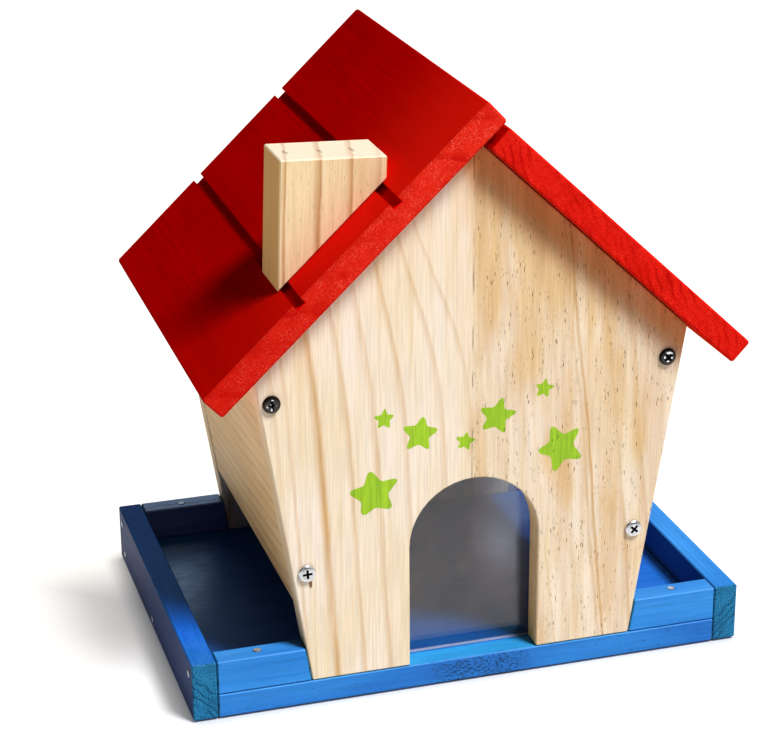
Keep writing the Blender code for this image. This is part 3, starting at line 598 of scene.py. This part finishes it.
def stain(name, seed, frame_of_grain, face, dark, end, end_dark, end_pale, flecks=0.0,
          chatter=0.0, gloss=(0.34, 0.5), speckle=0.5, shine=0.4, slant=(0.9, 13.0),
          under=None, back_shade=None, inner_shade=None, mark=None, rubbed_and_sheen_patch=None,
          grooved=False, clouding=1.0, streaking=0.6, front_and_ridge=None, end_fade=None,
          **options):
    """Semi-opaque wood stain: the grain and fibres show through it."""
    g = Graph(name)
    board = Board(g, *frame_of_grain)
    grain = Grain(g, board, seed, **options)
    colour = g.mix(g.fade(grain.blotch, 0.3, 0.72, 0.0, clouding), face, dark)
    colour = g.mix(g.mul(g.fade(grain.streaks, 0.45, 0.75), streaking), colour, dark)
    colour = g.mix(g.mul(grain.rings, RINGS_IN_COAT), colour, dark)
    fine = g.fade(grain.fibres, 0.25, 0.75, *FIBRE_CONTRAST)
    colour = g.shade(colour, fine)
    colour = g.mix(g.mul(grain.pores, flecks), colour, end_dark)
    # brighter red toward the front and the ridge
    if front_and_ridge is not None:
        colour = g.mix(front_and_ridge(g, board), colour, BRIGHTER_RED)
        # painted shade on the ridge edge's ease
        downhill = g.dot(g.coords.outputs["Normal"], frame_of_grain[1])
        colour = g.tint(g.fade(downhill, -0.9, -0.5, 1.0, 0.0), colour, PAINTED_RIDGE_SHADE)
    # painted light in the grooves
    if grooved:
        sunk = g.mul(g.fade(board.w, *GROOVE_BELOW, 1.0, 0.0),
                     g.fade(board.w, *GROOVE_ABOVE))
        colour = g.mix(g.mul(sunk, board.back), colour, PAINTED_GROOVE_LIGHT)
    if under is not None:
        bare = g.mix(g.mul(g.fade(grain.streaks, 0.35, 0.75), STREAKS_UNDER), under, dark)
        colour = g.mix(board.front, colour, g.shade(bare, fine))
    # painted shade on the face that looks against the depth direction
    if back_shade is not None:
        colour = g.tint(board.front, colour, back_shade)
    # painted shade on the faces inside the tray
    if inner_shade is not None:
        inside = board.back
        if rubbed_and_sheen_patch is not None:      # the tray board, whose doorstep is not inside
            inside = g.mul(board.back, g.fade(board.u, *DOORSTEP_END))
            step = g.mul(board.back, g.fade(board.u, *DOORSTEP_END, 1.0, 0.0))
            colour = g.tint(step, colour, DOORSTEP_TINT)
        # painted shade inside the tray
        colour = g.tint(inside, colour, inner_shade)
    ends = stained_ends(g, board, grain, end, end_dark, end_pale, speckle, slant, end_fade)
    colour = g.mix(board.end_grain, colour, ends)
    height = g.add(g.mul(grain.fibres, 0.6), g.mul(grain.rings, 0.35))
    height = g.add(height, g.mul(g.mul(board.end_grain, grain.end_spots), 0.9))
    height = g.sub(height, g.mul(grain.pores, flecks))
    rough = g.fade(g.add(grain.fibres, g.mul(board.end_grain, 0.6)), 0.2, 1.0, *gloss)
    # the rubbed patch: really smoother, and with a painted sheen in its colour
    if rubbed_and_sheen_patch is not None:
        rubbed_and_sheen = rubbed_and_sheen_patch(g, board)
        colour = g.mix(g.mul(rubbed_and_sheen, PAINTED_SHEEN_SHARE), colour, PAINTED_SHEEN_TONE)
        rough = g.sub(rough, g.mul(rubbed_and_sheen, RUBBED_SMOOTHER))
    if mark is not None:
        torn = mark(g, board)
        colour = g.mix(g.mul(torn, TORN_DARK), colour, end_dark)
        height = g.sub(height, g.mul(torn, TORN_DEEP))
    if chatter:
        slope = g.add(board.v, g.mul(board.w, HATCH_SLANT))
        ripples = g.math("SINE", g.mul(slope, 2.0 * math.pi / HATCH_PITCH))
        patchy = g.fade(board.noise(0.3, 0.09, 2.0), 0.38, 0.62)
        hatch = g.mul(g.mul(g.fade(ripples, 0.1, 0.9), patchy), board.edge)
        height = g.add(height, g.mul(hatch, chatter))
        colour = g.mix(g.mul(hatch, HATCH_SHOW), colour, HATCH_TONE)
        # painted shade toward the rear of the left rail's top
        shaded_rear = g.mul(g.fade(board.v, *REAR_SHADE_FROM), board.edge)
        colour = g.tint(shaded_rear, colour, PAINTED_REAR_SHADE)
    g.bump(height, *STAIN_BUMP)
    return g.finish(colour, rough, Specular_IOR_Level=shine)


# ---- metal and sheet -------------------------------------------------------------------
METAL_BUMP = (0.00002, 0.4)       # depth in metres, and strength
SCUFF_SCALE = 900.0
ZINC = rgb(226, 228, 232)
# painted reflection: the upper front screws are dark zinc with a dark rim, mirroring the shade
# under the roof
PAINTED_DARK_ZINC = rgb(78, 76, 75)
PAINTED_DARK_RIM = rgb(40, 32, 28)
PAINTED_GLINT = rgb(250, 250, 255)
SCUFF = rgb(90, 88, 84)
# painted shade in the driver cross's recess
PAINTED_RECESS_SHADE = rgb(34, 38, 44)
RIM_FROM = (3.2, 3.9)             # millimetres from the screw's axis
RECESS_WITHIN = (2.35, 2.6)
RECESS_BELOW = (0.30, 0.42)       # and below the top of its head
GLINT_RAGGED = 1.2

# upper screws: painted glints, centre and radii in millimetres
PAINTED_GLINTS = {
    "left": (((-2.0, -0.3), (0.7, 0.6)), ((-0.2, -2.2), (0.6, 0.6)),
             ((-0.5, -0.1), (0.5, 0.4)), ((0.2, 2.4), (0.6, 0.4)),
             ((1.9, -0.1), (0.5, 0.35))),
    "right": (((0.0, 2.4), (1.7, 0.75)), ((1.5, 2.1), (0.6, 0.6)),
              ((-1.9, 0.2), (0.55, 0.7)), ((1.7, -0.4), (0.5, 0.7)),
              ((-0.2, -1.9), (0.7, 0.35))),
}

SHEET_IOR = 1.49
SHEET_SHINE = 1.7
SHEET_CLEAR = ((0.90, 0.93, 0.95, 1.0), (0.95, 0.96, 0.97, 1.0))
SHEET_DUST = (0.012, 0.034)       # least and most cover
PAINTED_REFLECTION_SHARE = 0.14                # a painted bluish reflection at the upper right adds this
SHEET_EDGE_HIGHLIGHT = 0.0006               # painted highlight along the sawn lower edge, over this height
EDGE_HIGHLIGHT_SHOW = 0.6
DUST_TONE = (0.94, 0.71, 0.74, 1.0)
PAINTED_REFLECTION_TONE = (0.66, 0.76, 1.0, 1.0)
PAINTED_EDGE_TONE = (0.55, 0.72, 1.0, 1.0)
SHADOW_ACROSS = (25.6, 26.4)      # painted shadow: the dust is taken out in the jamb's shadow, right of this
SHADOW_UP = (62.0, 86.0)          # and below this
REFLECTION_ACROSS = (-2.0, 24.0)
REFLECTION_UP = (34.0, 74.0)
CLEAN_FOOT = (18.0, 38.0)
CLEAN_DUST = 0.05


def metal(name, colour, dark, roughness, metallic=1.0):
    """Plated or drawn metal with fine scuffs and a little dirt."""
    g = Graph(name)
    place = g.coords.outputs["Object"]
    scuffs = g.noise(place, SCUFF_SCALE, 4.0, 0.65)
    patches = g.noise(place, SCUFF_SCALE * 0.22, 2.0)
    tone = g.mix(g.fade(patches, 0.4, 0.75), colour, dark)
    rough = g.fade(scuffs, 0.3, 0.75, roughness * 0.75, roughness * 1.5)
    g.bump(scuffs, *METAL_BUMP)
    return g.finish(tone, rough, Metallic=metallic)


def driven_screw(name, tone, rim, glints):
    """A pan-head screw in zinc: driver cross in painted shade, rim as told, painted glints
    where listed.
    """
    g = Graph(f"zinc_{name}")
    low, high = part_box(name)
    place = g.coords.outputs["Object"]
    axis = (low + high) / 2.0
    turn = -1.0 if low.y < 0.0 else 1.0
    top = high.y if turn > 0.0 else low.y
    x = g.sub(g.mul(g.dot(place, X), TO_MM), axis.x * TO_MM)
    z = g.sub(g.mul(g.dot(place, Z), TO_MM), axis.z * TO_MM)
    reach = g.length(x, z)
    deep = g.sub(top * turn * TO_MM, g.mul(g.dot(place, Y), turn * TO_MM))
    scuffs = g.noise(place, SCUFF_SCALE, 4.0, 0.65)
    colour = g.mix(g.fade(scuffs, 0.4, 0.75), tone, g.mix(0.35, tone, SCUFF))
    colour = g.mix(g.fade(reach, *RIM_FROM), colour, rim)
    # painted shade in the recess; its added roughness is real
    recess = g.mul(g.fade(reach, *RECESS_WITHIN, 1.0, 0.0), g.fade(deep, *RECESS_BELOW))
    colour = g.mix(recess, colour, PAINTED_RECESS_SHADE)
    ragged = g.mul(g.sub(g.noise(place, 700.0, 2.0), 0.5), GLINT_RAGGED)
    for centre, radii in glints:
        colour = g.mix(g.spot(x, z, centre, radii, ragged), colour, PAINTED_GLINT)
    g.bump(scuffs, *METAL_BUMP)
    rough = g.add(g.fade(scuffs, 0.3, 0.75, 0.26, 0.42), g.mul(recess, 0.3))
    return g.finish(colour, rough, Metallic=1.0)


def clear_sheet(name):
    """Clear acrylic: mirrors a little of what stands before it and lets the rest through;
    dusty, with a painted reflection, edge highlight and jamb shadow.
    """
    g = Graph(name)
    tree = g.tree
    place = g.coords.outputs["Object"]
    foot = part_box("window_sheet")[0].z
    wipes = g.noise(place, 60.0, 5.0, 0.6, 1.5)

    geometry = tree.nodes.new("ShaderNodeNewGeometry")
    share = tree.nodes.new("ShaderNodeFresnel")
    g.put(share.inputs["IOR"],
          g.fade(geometry.outputs["Backfacing"], 0.0, 1.0, SHEET_IOR, 1.0 / SHEET_IOR))
    through = tree.nodes.new("ShaderNodeBsdfTransparent")
    g.put(through.inputs["Color"], g.mix(g.fade(wipes, 0.35, 0.7), *SHEET_CLEAR))
    mirror = tree.nodes.new("ShaderNodeBsdfGlossy")
    g.put(mirror.inputs["Roughness"], g.fade(wipes, 0.4, 0.8, 0.03, 0.09))
    blend = tree.nodes.new("ShaderNodeMixShader")
    g.put(blend.inputs[0], g.mul(share.outputs[0], SHEET_SHINE))
    g.put(blend.inputs[1], through.outputs[0])
    g.put(blend.inputs[2], mirror.outputs[0])

    across, up = g.mul(g.dot(place, X), TO_MM), g.mul(g.dot(place, Z), TO_MM)
    # painted shadow of the jamb, and painted reflection at the upper right
    painted_jamb_shadow = g.mul(g.fade(across, *SHADOW_ACROSS), g.fade(up, *SHADOW_UP, 1.0, 0.2))
    painted_reflection = g.mul(g.fade(across, *REFLECTION_ACROSS), g.fade(up, *REFLECTION_UP))
    # painted highlight along the foot
    edge = g.fade(g.dot(place, Z), foot, foot + SHEET_EDGE_HIGHLIGHT, EDGE_HIGHLIGHT_SHOW, 0.0)
    tone = g.mix(edge, g.mix(painted_reflection, DUST_TONE, PAINTED_REFLECTION_TONE), PAINTED_EDGE_TONE)
    dust = g.mul(g.fade(wipes, 0.3, 0.75, *SHEET_DUST),
                 g.fade(up, *CLEAN_FOOT, CLEAN_DUST, 1.0))
    dust = g.mul(g.add(dust, g.mul(painted_reflection, PAINTED_REFLECTION_SHARE)), g.sub(1.0, painted_jamb_shadow))
    dusty = tree.nodes.new("ShaderNodeMixShader")
    g.put(dusty.inputs[0], g.math("MAXIMUM", dust, edge))
    g.put(dusty.inputs[1], blend.outputs[0])
    g.put(dusty.inputs[2], g.shader.outputs[0])
    g.put(tree.nodes["Material Output"].inputs["Surface"], dusty.outputs[0])
    return g.finish(tone, g.fade(wipes, 0.3, 0.8, 0.35, 0.55))


# ---- every CAD node gets its material --------------------------------------------------
def paint_nodes(names, material):
    for name in names:
        mesh = nodes[name].data
        mesh.materials.clear()
        mesh.materials.append(material)


paint_nodes(["front_panel"], pine("pine_front", 1, GRAIN_FRONT, grain_maker=FrontGrain,
                                  painted_shadow=painted_eave_shadow))
paint_nodes(["rear_panel"], pine("pine_rear", 5, GRAIN_REAR, pith=(40.0, -55.0),
                                 spacing=11.0, drift=0.06, wander=2.4, pores=0.5))
paint_nodes(["left_side_panel"],
            pine("pine_left_side", 8, GRAIN_LEFT, pith=(-60.0, -50.0), spacing=6.5,
                 drift=0.10, rings=0.45, pores=0.4, palette=PAINTED_SHADE_PALETTE))
paint_nodes(["right_side_panel"],
            pine("pine_right_side", 11, GRAIN_RIGHT, pith=(-80.0, -40.0), spacing=9.5,
                 drift=-0.07, rings=0.8, pores=0.5))
paint_nodes(["chimney"], pine("pine_chimney", 3, GRAIN_CHIMNEY, grain_maker=ChimneyGrain,
                              palette=CHIMNEY_PALETTE, shade_edge_tint=CHIMNEY_PAINTED_SHADE_TINT,
                              end_tones=CHIMNEY_ENDS))

paint_nodes(["left_roof_panel"],
            stain("red_left_roof", 2, GRAIN_LEFT_ROOF, pith=(-150.0, 120.0), spacing=23.0,
                  drift=0.02, pores=0.3, speckle=0.55, shine=0.0, front_and_ridge=brighter_front_and_ridge,
                  end_fade=(30.0, 170.0, 0.0, 0.5), gloss=ROOF_GLOSS, slant=(-1.1, 24.0),
                  grooved=True, clouding=0.45, streaking=0.3, **RED))
paint_nodes(["right_roof_panel"],
            stain("red_right_roof", 6, GRAIN_RIGHT_ROOF, pith=(-150.0, -140.0),
                  spacing=17.0, drift=0.02, pores=0.3, shine=0.0, gloss=ROOF_GLOSS,
                  slant=(1.9, 9.5), clouding=0.35, **RED_LID))
paint_nodes(["base_board"],
            stain("blue_base", 4, GRAIN_BASE, pith=(-40.0, -45.0), spacing=11.0,
                  drift=0.05, pores=0.6, flecks=0.8, mark=torn_patch, gloss=(0.52, 0.62),
                  rubbed_and_sheen_patch=rubbed_floor_and_sheen, shine=0.35, inner_shade=PAINTED_FLOOR_SHADE, **BLUE))

LONG_RAILS = {
    "left": (7, 0.5, BLUE),       # seed, depth of the planer marks, coat
    "right": (9, 0.0, PALE_BLUE),
}
for side, (seed, chatter, coat) in LONG_RAILS.items():
    paint_nodes([f"{side}_rail"],
                stain(f"blue_{side}_rail", seed, GRAIN_LONG_RAIL[side], pith=(-30.0, 90.0),
                      spacing=6.0, drift=0.03, pores=0.5, flecks=0.5, speckle=0.85,
                      chatter=chatter, shine=0.05, slant=(0.8, 5.5),
                      back_shade=PAINTED_OUTER_SHADE, inner_shade=PAINTED_INNER_SHADE, **coat))

SHORT_RAIL_SEEDS = {("front", "left"): 25, ("rear", "left"): 24, ("front", "right"): 27,
                    ("rear", "right"): 26}
PLAIN_RAIL = dict(PALE_BLUE, shine=0.12)
# painted light on the rear left short rail, with its real crack
CRACKED_PAINTED_LIGHT_RAIL = dict(PAINTED_LIGHT_BLUE, shine=0.45, gloss=(0.28, 0.42), mark=split_at_the_nail)
for (end, side), seed in SHORT_RAIL_SEEDS.items():
    coat = CRACKED_PAINTED_LIGHT_RAIL if (end, side) == ("rear", "left") else PLAIN_RAIL
    paint_nodes([f"{end}_{side}_rail"],
                stain(f"blue_{end}_{side}_rail", seed, GRAIN_SHORT_RAIL,
                      pith=(-40.0, -60.0), spacing=8.0, drift=0.04, pores=0.4, flecks=0.3,
                      back_shade=PAINTED_INNER_SHADE if end == "rear" else None, **coat))

# the foot screws are out of sight, so they are plain
paint_nodes([f"{end}_{side}_foot_screw" for end in ENDS for side in SIDES],
            metal("bright_zinc", ZINC, rgb(188, 190, 196), 0.16))
for end in ENDS:
    for side in SIDES:
        for level in ("upper", "lower"):
            name = f"{end}_{level}_{side}_screw"
            # upper front screws: painted dark reflection and painted glints
            if (end, level) == ("front", "upper"):
                screw = driven_screw(name, PAINTED_DARK_ZINC, PAINTED_DARK_RIM, PAINTED_GLINTS[side])
            else:
                screw = driven_screw(name, ZINC, ZINC, ())
            paint_nodes([name], screw)
paint_nodes([n for n in nodes if n.endswith(("_nail", "_pin"))],
            metal("nail_steel", rgb(214, 218, 224), rgb(160, 160, 158), 0.42, metallic=0.6))
paint_nodes([n for n in nodes
             if n.endswith("_tack") or "_hinge_" in n and not n.endswith("_pin")],
            metal("rolled_brass", rgb(208, 172, 96), rgb(172, 134, 66), 0.30))
paint_nodes(["window_sheet"], clear_sheet("clear_acrylic"))


# ---- painted stars ---------------------------------------------------------------------
star_paint = pine("lime_paint", 1, GRAIN_FRONT, palette=STAR_PALETTE, rings=0.7,
                  grain_maker=FrontGrain, heart=False, fibre=(0.78, 1.12))
STAR_PROUD = 0.00004              # how far the film's face lies in front of the gable
STAR_FILM = 1.5                   # the film's thickness, as a share of that
STAR_SEED = 40
STAR_SPAN = 1.902                 # width of a star whose points reach 1
NOTCH = 0.46                      # inner corners, as a share of the reach of the points
POINT_LONGER = 1.16               # the points before they were rounded off
POINT_BLUNT = 0.30                # how far back the brush rounded them, as the same share,
NOTCH_BLUNT = 0.10                # and the notches
BLUNT_STEPS = 5
ARM_TURN = (-3.0, 3.0)            # degrees
ARM_REACH = (0.94, 1.06)
OUTLINE_SHAKE = (-0.05, 0.05)     # millimetres

# centre across and up in millimetres, width, turn in degrees
STARS = (
    (-44.6, 143.0, 9.6, -3), (-27.2, 133.2, 17.4, -10), (-5.0, 126.8, 9.4, -12),
    (10.8, 137.5, 17.6, -13), (34.1, 148.8, 9.4, -10), (42.9, 117.4, 23.4, 24),
    (-49.8, 105.7, 23.4, 8),
)


def star(index, across, up, width, turn):
    """A hand-painted star: rounded points, uneven arms, a film of paint on the wood."""
    rng = random.Random(STAR_SEED + index)
    reach = width / STAR_SPAN * POINT_LONGER
    bm = bmesh.new()
    corners = []
    for k in range(10):
        angle = math.radians(90 + turn + 36 * k + rng.uniform(*ARM_TURN))
        radius = reach * (NOTCH if k % 2 else 1.0) * rng.uniform(*ARM_REACH)
        corners.append(bm.verts.new((across * MM + radius * MM * math.cos(angle), 0.0,
                                     up * MM + radius * MM * math.sin(angle))))
    bm.faces.new(corners)
    for group, blunt in ((corners[0::2], POINT_BLUNT), (corners[1::2], NOTCH_BLUNT)):
        bmesh.ops.bevel(bm, geom=group, offset=reach * blunt * MM, affect="VERTICES",
                        segments=BLUNT_STEPS, profile=0.5)
    for vert in bm.verts:
        vert.co.x += rng.uniform(*OUTLINE_SHAKE) * MM
        vert.co.z += rng.uniform(*OUTLINE_SHAKE) * MM
        vert.co.y = FRONT_Y - STAR_PROUD
    bmesh.ops.recalc_face_normals(bm, faces=bm.faces)
    for face in bm.faces:
        if face.normal.y > 0:
            face.normal_flip()
    mesh = bpy.data.meshes.new(f"star_{index}")
    bm.to_mesh(mesh)
    bm.free()
    mesh.materials.append(star_paint)
    piece = bpy.data.objects.new(f"star_{index}", mesh)
    bpy.context.scene.collection.objects.link(piece)
    film = piece.modifiers.new("film", "SOLIDIFY")
    film.thickness = STAR_PROUD * STAR_FILM
    film.offset = -1.0
    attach(piece, "house")


for index, (across, up, width, turn) in enumerate(STARS):
    star(index, across, up, width, turn)


# ---- studio ----------------------------------------------------------------------------
FLOOR_SIZE = 6.0
FLOOR_GAP = 0.0010
FLOOR_TONES = ((0.52, 0.53, 0.56, 1.0), (0.55, 0.56, 0.59, 1.0))
FLOOR_AWAY = (0.06, 0.06, 0.06, 1.0)        # away from the model it only glows
FLOOR_TINT = (1.0, 0.975, 0.935, 1.0)
FLOOR_GLOW = 0.50                 # self-light beside the model, rising over FLOOR_FADE to
FLOOR_WHITE = 1.10                # this, where the warm tint of the glow clips to white
FLOOR_FADE = 0.085
REAR_FADE = (0.030, 0.105)        # and toward the rear between these
RAIL_THICK = 0.012
CONTACT_REACH = 0.012             # painted contact shadow: occlusion over this reach dims the floor's glow in the crack under the base
CONTACT_DEPTH = 1.2
CONTACT_SAMPLES = 16
KEY_DIRECTION = Vector((0.301, -0.437, 0.848)).normalized()
KEY_AIM = Vector((0.0, 0.0, 0.12))
KEY_DISTANCE = 7.0
KEY_SIZE = 2.1
KEY_LIGHT = 1.35                  # irradiance facing the light, where 1 is white
SKY_TONE = (0.66, 0.82, 1.0, 1.0)
AMBIENT = 0.05
BACK_CARD = Vector((0.22, 0.87, 0.44)).normalized()
BACK_LIGHT = 1.25
BACK_EDGE = (30.0, 12.0)          # degrees from the card's middle, none to full
GAMMA = 0.85


def studio_floor():
    """A pale glowing floor: the glow is weaker beside the model, so its shadow shows there, and
    white away from it and toward the rear; painted contact shadow dims it under the base.
    """
    bm = bmesh.new()
    bmesh.ops.create_grid(bm, x_segments=2, y_segments=2, size=FLOOR_SIZE)
    mesh = bpy.data.meshes.new("studio_floor")
    bm.to_mesh(mesh)
    bm.free()
    floor = bpy.data.objects.new("studio_floor", mesh)
    bpy.context.scene.collection.objects.link(floor)
    floor.location.z = -FLOOR_GAP
    g = Graph("pale_floor")
    place = g.coords.outputs["Object"]
    half = (board_high - board_low) / 2.0
    off = [g.math("MAXIMUM", g.sub(g.math("ABSOLUTE", g.dot(place, axis)), reach), 0.0)
           for axis, reach in ((X, half.x + RAIL_THICK), (Y, half.y))]
    bright = g.math("MAXIMUM", g.fade(g.length(*off), 0.0, FLOOR_FADE),
                    g.fade(g.dot(place, Y), *REAR_FADE))
    tone = g.mix(bright, g.mix(g.noise(place, 3.0, 2.0), *FLOOR_TONES), FLOOR_AWAY)
    # painted contact shadow: occlusion dims the glow near the base
    contact = g.tree.nodes.new("ShaderNodeAmbientOcclusion")
    contact.samples = CONTACT_SAMPLES
    contact.inputs["Distance"].default_value = CONTACT_REACH
    g.put(g.shader.inputs["Emission Strength"],
          g.mul(g.math("POWER", contact.outputs["AO"], CONTACT_DEPTH),
                g.add(FLOOR_GLOW, g.mul(bright, FLOOR_WHITE - FLOOR_GLOW))))
    mesh.materials.append(g.finish(tone, 0.9, Specular_IOR_Level=0.0,
                                   Emission_Color=FLOOR_TINT))


def key_light():
    """A large round soft box above, in front and to the right."""
    lamp = bpy.data.lights.new("key_softbox", "AREA")
    lamp.shape = "DISK"
    lamp.size = KEY_SIZE
    lamp.energy = KEY_LIGHT * math.pi * math.pi * KEY_DISTANCE ** 2
    key = bpy.data.objects.new("key_softbox", lamp)
    key.location = KEY_AIM + KEY_DIRECTION * KEY_DISTANCE
    key.rotation_euler = KEY_DIRECTION.to_track_quat("Z", "Y").to_euler()
    bpy.context.scene.collection.objects.link(key)


def studio_sky():
    """Faint cool light from everywhere, and a soft bright card behind the model."""
    world = bpy.data.worlds.new("studio")
    world.use_nodes = True
    sky = world.node_tree
    toward = sky.nodes.new("ShaderNodeVectorMath")
    toward.operation = "DOT_PRODUCT"
    sky.links.new(sky.nodes.new("ShaderNodeTexCoord").outputs["Generated"],
                  toward.inputs[0])
    toward.inputs[1].default_value = BACK_CARD
    card = sky.nodes.new("ShaderNodeMapRange")
    card.interpolation_type = "SMOOTHSTEP"
    card.inputs["From Min"].default_value = math.cos(math.radians(BACK_EDGE[0]))
    card.inputs["From Max"].default_value = math.cos(math.radians(BACK_EDGE[1]))
    card.inputs["To Min"].default_value = AMBIENT
    card.inputs["To Max"].default_value = AMBIENT + BACK_LIGHT
    sky.links.new(toward.outputs["Value"], card.inputs[0])
    sky.links.new(card.outputs[0], sky.nodes["Background"].inputs[1])
    sky.nodes["Background"].inputs[0].default_value = SKY_TONE
    bpy.context.scene.world = world


studio_floor()
key_light()
studio_sky()
bpy.context.scene.view_settings.view_transform = "Standard"
bpy.context.scene.view_settings.gamma = GAMMA

# ---- camera ----------------------------------------------------------------------------
CAMERA_PLACE = Vector((-0.31234, -0.99052, 0.53186))
YAW = math.radians(16.598)
TILT = math.radians(21.277)
ROLL = math.radians(-0.482)
SENSOR_MM = 36.0
LENS_MM = 103.74
LENS_SHIFT = (-0.003, 0.0005)

forward = Vector((math.sin(YAW) * math.cos(TILT), math.cos(YAW) * math.cos(TILT),
                  -math.sin(TILT)))
level = Vector((math.cos(YAW), -math.sin(YAW), 0.0))
above = level.cross(forward)
right = math.cos(ROLL) * level + math.sin(ROLL) * above
upward = -math.sin(ROLL) * level + math.cos(ROLL) * above
lens = bpy.data.cameras.new("camera")
lens.sensor_width = SENSOR_MM
lens.lens = LENS_MM
lens.shift_x, lens.shift_y = LENS_SHIFT
camera = bpy.data.objects.new("camera", lens)
aim = Matrix((right, upward, -forward)).transposed().to_4x4()
camera.matrix_world = Matrix.Translation(CAMERA_PLACE) @ aim
bpy.context.scene.collection.objects.link(camera)
bpy.context.scene.camera = camera

bpy.context.view_layer.update()
